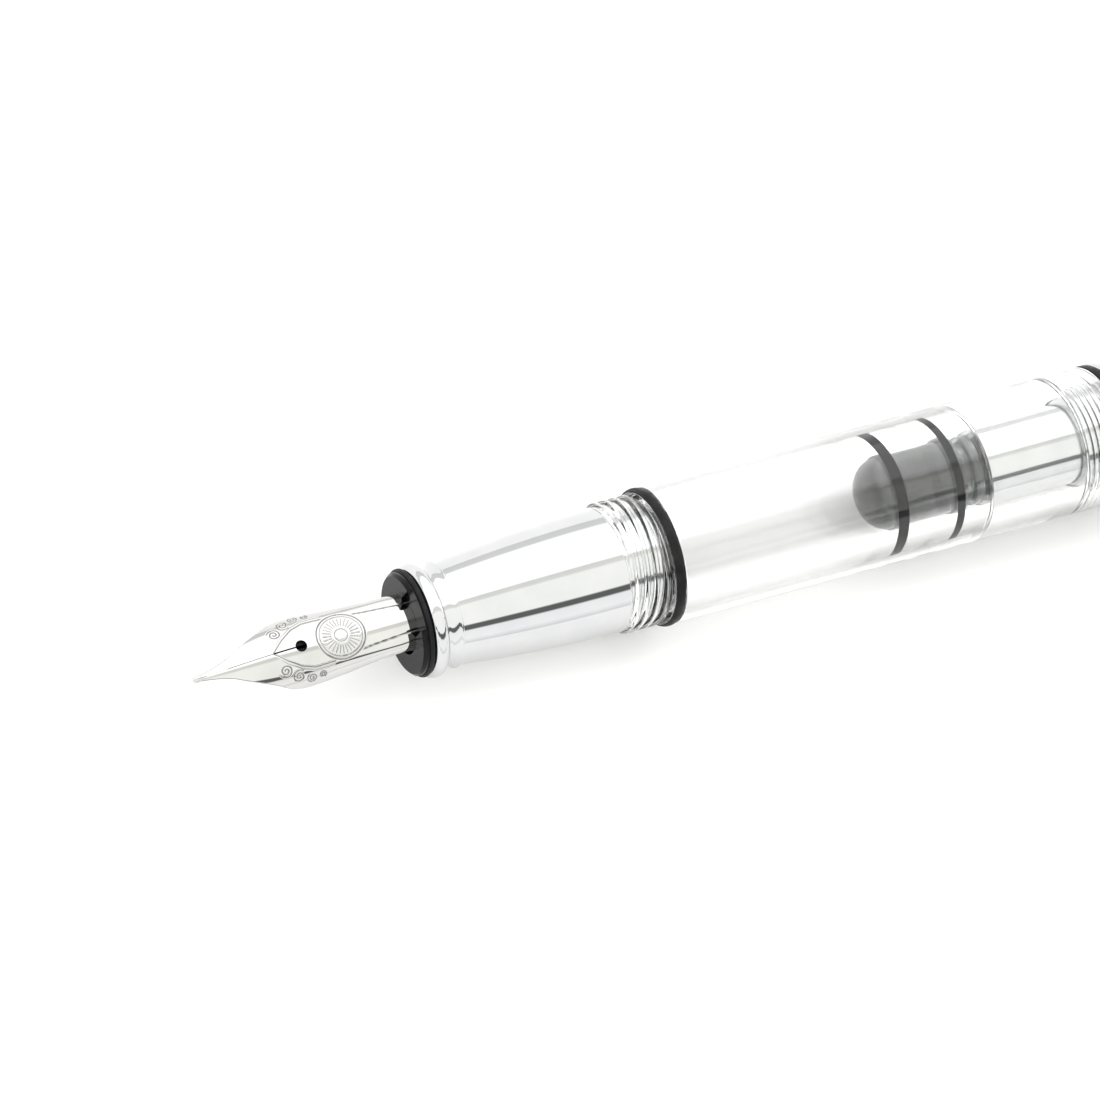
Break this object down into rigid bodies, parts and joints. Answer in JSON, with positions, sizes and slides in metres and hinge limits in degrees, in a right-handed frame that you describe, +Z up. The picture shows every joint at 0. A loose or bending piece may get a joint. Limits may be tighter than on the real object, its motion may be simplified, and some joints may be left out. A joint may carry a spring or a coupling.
{
  "type": "fountain pen",
  "caption": "Clear piston-filling fountain pen, uncapped: steel nib, chrome grip, black seals, clear barrel with a smoky piston that a turning tail knob drives.",
  "frame": {"origin": "on the table under the middle of the pen, which lies on its side", "axes": "+X along the pen from the writing tip to the tail, +Z up, the way the nib's top faces"},
  "size_m": [0.1216, 0.0134, 0.0135],
  "materials": {
    "nib_steel": "polished",
    "tipping_metal": "satin",
    "black_plastic": "gloss",
    "black_rubber": "matte",
    "chrome": "mirror polished",
    "clear_acrylic": "clear polished",
    "smoky_plastic": "translucent polished",
    "white_plastic": "satin",
    "grey_plastic": "satin",
    "spindle_brass": "machined",
    "spring_steel": "satin"
  },
  "bodies": {
    "pen": {"nib": "nib_steel", "nib_tipping": "tipping_metal", "feed": "black_plastic", "nib_collar": "black_plastic", "collar_gasket": "black_rubber", "section_lip": "chrome", "section_grip": "chrome", "section_liner": "clear_acrylic", "section_oring": "black_rubber", "cap_oring": "black_rubber", "barrel": "clear_acrylic", "barrel_end_oring": "black_rubber", "guide_nut": "grey_plastic", "mechanism_sleeve": "chrome", "thrust_washer": "white_plastic", "spindle_clip": "spring_steel", "knob_friction_ring": "black_rubber"},
    "piston": {"piston_plug": "smoky_plastic", "piston_seal_front": "black_rubber", "piston_seal_rear": "black_rubber", "piston_rod": "smoky_plastic"},
    "filler_knob": {"spindle": "spindle_brass", "knob": "clear_acrylic", "knob_screw": "spring_steel", "knob_finial": "chrome"}
  },
  "joints": [
    {"name": "knob_turn", "type": "hinge", "parent": "pen", "child": "filler_knob", "pos_m": [0.035, 0, 0.00675], "axis": [1, 0, 0], "range_deg": [0, 855]},
    {"name": "piston_slide", "type": "slide", "parent": "pen", "child": "piston", "axis": [-1, 0, 0], "range_m": [0, 0.01901]}
  ],
  "couplings": [
    {"joint": "piston_slide", "follows": "knob_turn", "m_per_rad": 0.0012732}
  ]
}
